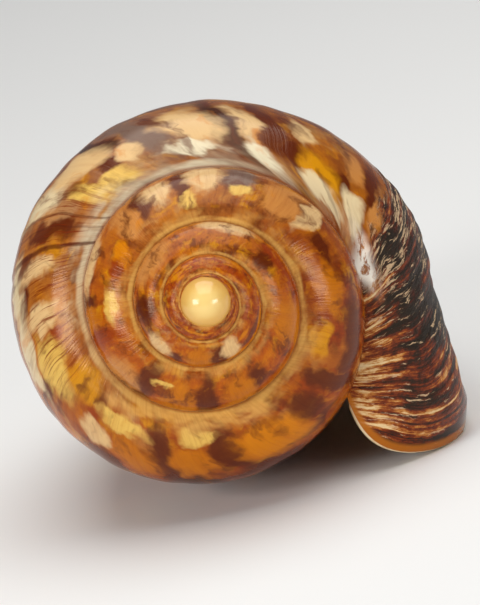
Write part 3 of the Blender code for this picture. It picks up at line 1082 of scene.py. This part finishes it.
    def streaks(self, paint: GrowthPaint, shade: Socket) -> Socket:
        """Adds fine lines along the growth lines, strongest around the scars, and the scars.

        Args:
            paint: The material's nodes.
            shade: Colour so far.

        Returns:
            The colour with the lines.
        """
        line, across = paint.line, paint.across
        faint = paint.add(STEP, paint.texture(self.faint_lines), 0.4, 0.75)
        faint = paint.add(MULTIPLY, faint, paint.add(STEP, line, -0.42, -0.55, 0.08, 0.3))
        shade = paint.add(TINT, faint, shade, Tone.AMBER)
        region = paint.chain(
            MULTIPLY,
            paint.add(STEP, line, -0.74, -0.64),
            paint.add(STEP, line, -0.46, -0.52),
            paint.add(STEP, across, 0.75, 0.4),
            paint.add(STEP, across, 0.06, 0.22, 0.25, 1.0),
        )
        marks = paint.add(STEP, paint.texture(self.marks), 0.52, 0.6)
        marks = paint.chain(MULTIPLY, marks, region, self.mark_strength)
        shade = paint.add(MIX, marks, shade, self.mark_tone)
        wander, _, _ = paint.node(SPLIT, paint.warp(paint.place, self.scar_warps)).outputs
        for turn, width, dark in self.scars:
            away = paint.add(ABSOLUTE, paint.add(SUBTRACT, wander, turn))
            scar = paint.add(STEP, away, width, width * 0.3, 0.0, dark)
            scar = paint.add(MULTIPLY, scar, paint.add(STEP, across, 1.0, 0.7))
            shade = paint.add(MIX, scar, shade, self.scar_tone)
        return shade

    def rough_zone(self, paint: GrowthPaint, shade: Socket) -> tuple[Socket, Socket]:
        """Adds the last stretch before the lip, dark and flaking with cream flecks, and the lip's band.

        Args:
            paint: The material's nodes.
            shade: Colour so far.

        Returns:
            How rough the wall is, from 0 to 1, and the colour with the stretch.
        """
        turn, line, across = paint.turn, paint.line, paint.across
        ragged = paint.add(MULTIPLY, paint.texture(self.ragged_zone), self.zone_raggedness)
        zone = paint.add(STEP, paint.add(SUBTRACT, line, ragged), *self.zone_start)
        near_lip = paint.add(STEP, turn, -0.09, -0.01, 0.0, 0.07)
        near_suture = paint.add(STEP, across, 0.36, 0.05, 0.0, 0.15)
        lines = paint.chain(
            ADD,
            paint.texture(self.rough_lines),
            paint.add(STEP, paint.texture(self.rough_bands), 0.3, 0.7, -0.15, 0.05),
            paint.add(STEP, paint.texture(self.breaks), 0.3, 0.7, -0.11, 0.11),
            paint.add(ADD, near_lip, near_suture),
        )
        flecks = paint.noise(self.flecks, paint.warp(paint.place, self.fleck_warps))
        level = paint.add(STEP, paint.texture(self.fleck_crowds), 0.3, 0.7, 0.61, 0.5)
        level = paint.add(ADD, level, paint.add(STEP, line, -0.15, -0.08, -0.02, 0.04))
        flecks = paint.add(STEP, flecks, level, paint.add(ADD, level, 0.05), 0.0, 0.8)
        dark = paint.add(MIX, flecks, paint.ramp(lines, self.rough_tones), self.fleck_tone)

        keep = paint.add(MULTIPLY, paint.add(STEP, across, 0.22, 0.1), paint.add(STEP, turn, -0.1, -0.13))
        cover = paint.add(MULTIPLY, zone, paint.add(SUBTRACT, 1.0, keep))
        white = paint.chain(
            MULTIPLY,
            paint.add(STEP, line, -0.22, -0.18, 0.0, 0.9),
            keep,
            paint.add(STEP, paint.texture(self.white_gaps), 0.42, 0.52),
        )
        shade = paint.add(MIX, white, shade, Tone.WHITE)
        shade = paint.add(MIX, cover, shade, dark)
        shade = paint.add(MIX, paint.add(STEP, turn, *self.lip_band, 0.0, 0.9), shade, self.lip_tone)
        return paint.add(MULTIPLY, cover, paint.add(STEP, turn, -0.006, -0.03)), shade


@dataclass(frozen=True)
class BeadGlaze:
    """The bead at the apex: smooth cream yellow with a small sharp highlight, and a painted shade that
    darkens it towards its edge.
    """

    middle: str = "#eecb7c"
    # Painted shade: the darker colour towards the bead's edge, where the dome turns away from the lights.
    edge: str = "#dca850"
    cloud: Grain = Grain(300.0, 300.0, 3.0, through=300.0)
    gloss: float = 0.18
    refraction: float = 1.55

    def dress(self) -> bpy.types.Material:
        """Makes the material."""
        paint = GrowthPaint("bead_glaze")
        cloud = paint.noise(self.cloud, paint.add(OBJECT_PLACE))
        depth = paint.add(ADD, paint.across, paint.add(MULTIPLY, cloud, 0.3))
        # Painted shade: the colour darkens from the middle towards the edge.
        shade = paint.add(MIX, paint.add(STEP, depth, 0.55, 1.0), self.edge, self.middle)
        return paint.finish({"Base Color": shade, "Roughness": self.gloss, "IOR": self.refraction})


@dataclass(frozen=True)
class LipGlaze:
    """Rounded edge of the lip: bare, chalky cream shell, orange brown where the outside's glaze ends."""

    pale: str = "#ead9ae"
    deep: str = "#cba060"
    glaze: str = "#a85c0e"
    glaze_end: Pair = (0.0002, 0.0008)
    cloud: Grain = Grain(500.0, 500.0, 4.0, through=500.0)
    gloss: float = 0.35
    depth: float = 0.00008

    def dress(self) -> bpy.types.Material:
        """Makes the material."""
        paint = GrowthPaint("lip_glaze")
        cloud = paint.noise(self.cloud, paint.add(OBJECT_PLACE))
        shade = paint.add(MIX, paint.add(STEP, cloud, 0.4, 0.75), self.pale, self.deep)
        shade = paint.add(MIX, paint.add(STEP, paint.turn, *self.glaze_end), self.glaze, shade)
        normal = paint.add(BUMP, 1.0, self.depth, cloud)
        return paint.finish({"Base Color": shade, "Roughness": self.gloss, "Normal": normal})


@dataclass(frozen=True)
class InnerGlaze:
    """Inside of the shell: porcelain-smooth pale orange that deepens inwards, with faint growth lines."""

    mouth: str = "#e8c79a"
    deep: str = "#b9713a"
    lines: Grain = Grain(90.0, 1.0, 3.0)
    gloss: float = 0.22
    depth: float = 0.00005

    def dress(self) -> bpy.types.Material:
        """Makes the material."""
        paint = GrowthPaint("inner_glaze")
        lines = paint.texture(self.lines)
        inwards = paint.add(ADD, paint.turn, paint.add(MULTIPLY, lines, 0.12))
        shade = paint.add(MIX, paint.add(STEP, inwards, -0.3, 0.05), self.deep, self.mouth)
        normal = paint.add(BUMP, 1.0, self.depth, lines)
        return paint.finish({"Base Color": shade, "Roughness": self.gloss, "Normal": normal})


@dataclass
class Studio:
    """Plain pale floor, soft lights and the camera, which looks down the shell's axis from the apex."""

    shell: VoluteShell
    metres_per_pixel: float = 0.0001266
    apex_pixel: Pair = (206.3, 302.0)
    frame_pixels: tuple[int, int] = (480, 605)
    distance: float = 1.2
    focus_depth: float = 0.03
    floor_size: float = 8.0
    floor_shades: tuple[str, str] = ("#ecebe8", "#f0efec")
    floor_cloud: Grain = Grain(6.0, 6.0, through=6.0)
    floor_roughness: float = 0.9
    softboxes: tuple[tuple[str, Place, Pair, float], ...] = (
        ("overhead", (-0.05, 0.48, 0.12), (0.75, 0.55), 2.9),
        ("left", (-0.40, 0.0, 0.40), (0.26, 0.18), 1.5),
        ("right", (0.40, 0.0, 0.42), (0.26, 0.18), 1.4),
    )
    sky: str = "#e4e6ea"
    sky_strength: float = 0.24

    def floor(self) -> bpy.types.Object:
        """Adds the floor, matt as plaster, so that it shows soft shadows and no reflections."""
        bpy.ops.mesh.primitive_plane_add(size=self.floor_size)
        floor = bpy.context.object
        floor.name = "floor"
        paint = Paint("pale_floor")
        cloud = paint.noise(self.floor_cloud, paint.add(OBJECT_PLACE))
        shade = paint.add(MIX, cloud, *self.floor_shades)
        floor.data.materials.append(paint.finish({"Base Color": shade, "Roughness": self.floor_roughness}))
        return floor

    def light(self, name: str, place: Place, size: Pair, power: float) -> None:
        """Adds a softbox that faces the shell.

        Args:
            name: Name of the light.
            place: Right, up and towards the camera, as the camera sees the shell, in metres.
            size: Width and height.
            power: Watts.
        """
        data = bpy.data.lights.new(name, "AREA")
        data.shape = "RECTANGLE"
        data.size, data.size_y = size
        data.energy = power
        lamp = bpy.data.objects.new(name, data)
        bpy.context.scene.collection.objects.link(lamp)
        target = self.shell.shift + self.shell.turned @ Vector((0, 0, -self.focus_depth))
        lamp.location = target + self.shell.turned.to_3x3() @ Vector(place)
        lamp.rotation_euler = (target - lamp.location).to_track_quat("-Z", "Y").to_euler()

    def lights(self) -> None:
        """Adds the softboxes and the even light around them."""
        for softbox in self.softboxes:
            self.light(*softbox)
        world = bpy.data.worlds.new("studio")
        world.use_nodes = True
        background = world.node_tree.nodes["Background"]
        background.inputs["Color"].default_value = colour(self.sky)
        background.inputs["Strength"].default_value = self.sky_strength
        bpy.context.scene.world = world
        bpy.context.scene.view_settings.view_transform = "Standard"

    def camera(self) -> None:
        """Adds the camera at the photograph's angle, with the apex at the photograph's pixel."""
        data = bpy.data.cameras.new("camera")
        data.sensor_width = 36.0
        tall = self.frame_pixels[1] * self.metres_per_pixel
        data.lens = data.sensor_width * (self.distance + self.focus_depth) / tall
        data.clip_start = 0.05
        camera = bpy.data.objects.new("camera", data)
        bpy.context.scene.collection.objects.link(camera)
        right = (self.frame_pixels[0] / 2 - self.apex_pixel[0]) * self.metres_per_pixel
        down = (self.frame_pixels[1] / 2 - self.apex_pixel[1]) * self.metres_per_pixel
        place = self.shell.turned @ Vector((right, -down, self.distance))
        camera.matrix_world = Matrix.Translation(self.shell.shift + place) @ self.shell.turned
        bpy.context.scene.camera = camera


def main() -> None:
    """Builds the shell and the studio, and reports each piece."""
    bpy.ops.object.select_all(action="DESELECT")
    builder = VoluteShell()
    finishes = (MottledGlaze(), BeadGlaze(), LipGlaze(), InnerGlaze())
    shell = builder.build({surface: finish.dress() for surface, finish in zip(Surface, finishes)})
    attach(shell, "root")
    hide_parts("shell")
    triangles = sum(len(face.vertices) - 2 for face in shell.data.polygons)
    log.info("shell: %d triangles, %d open edges", triangles, builder.open_edges(shell))

    studio = Studio(builder)
    studio.floor()
    studio.lights()
    studio.camera()
    log.info("studio: floor, three softboxes, camera")


if __name__ == "__main__":
    main()
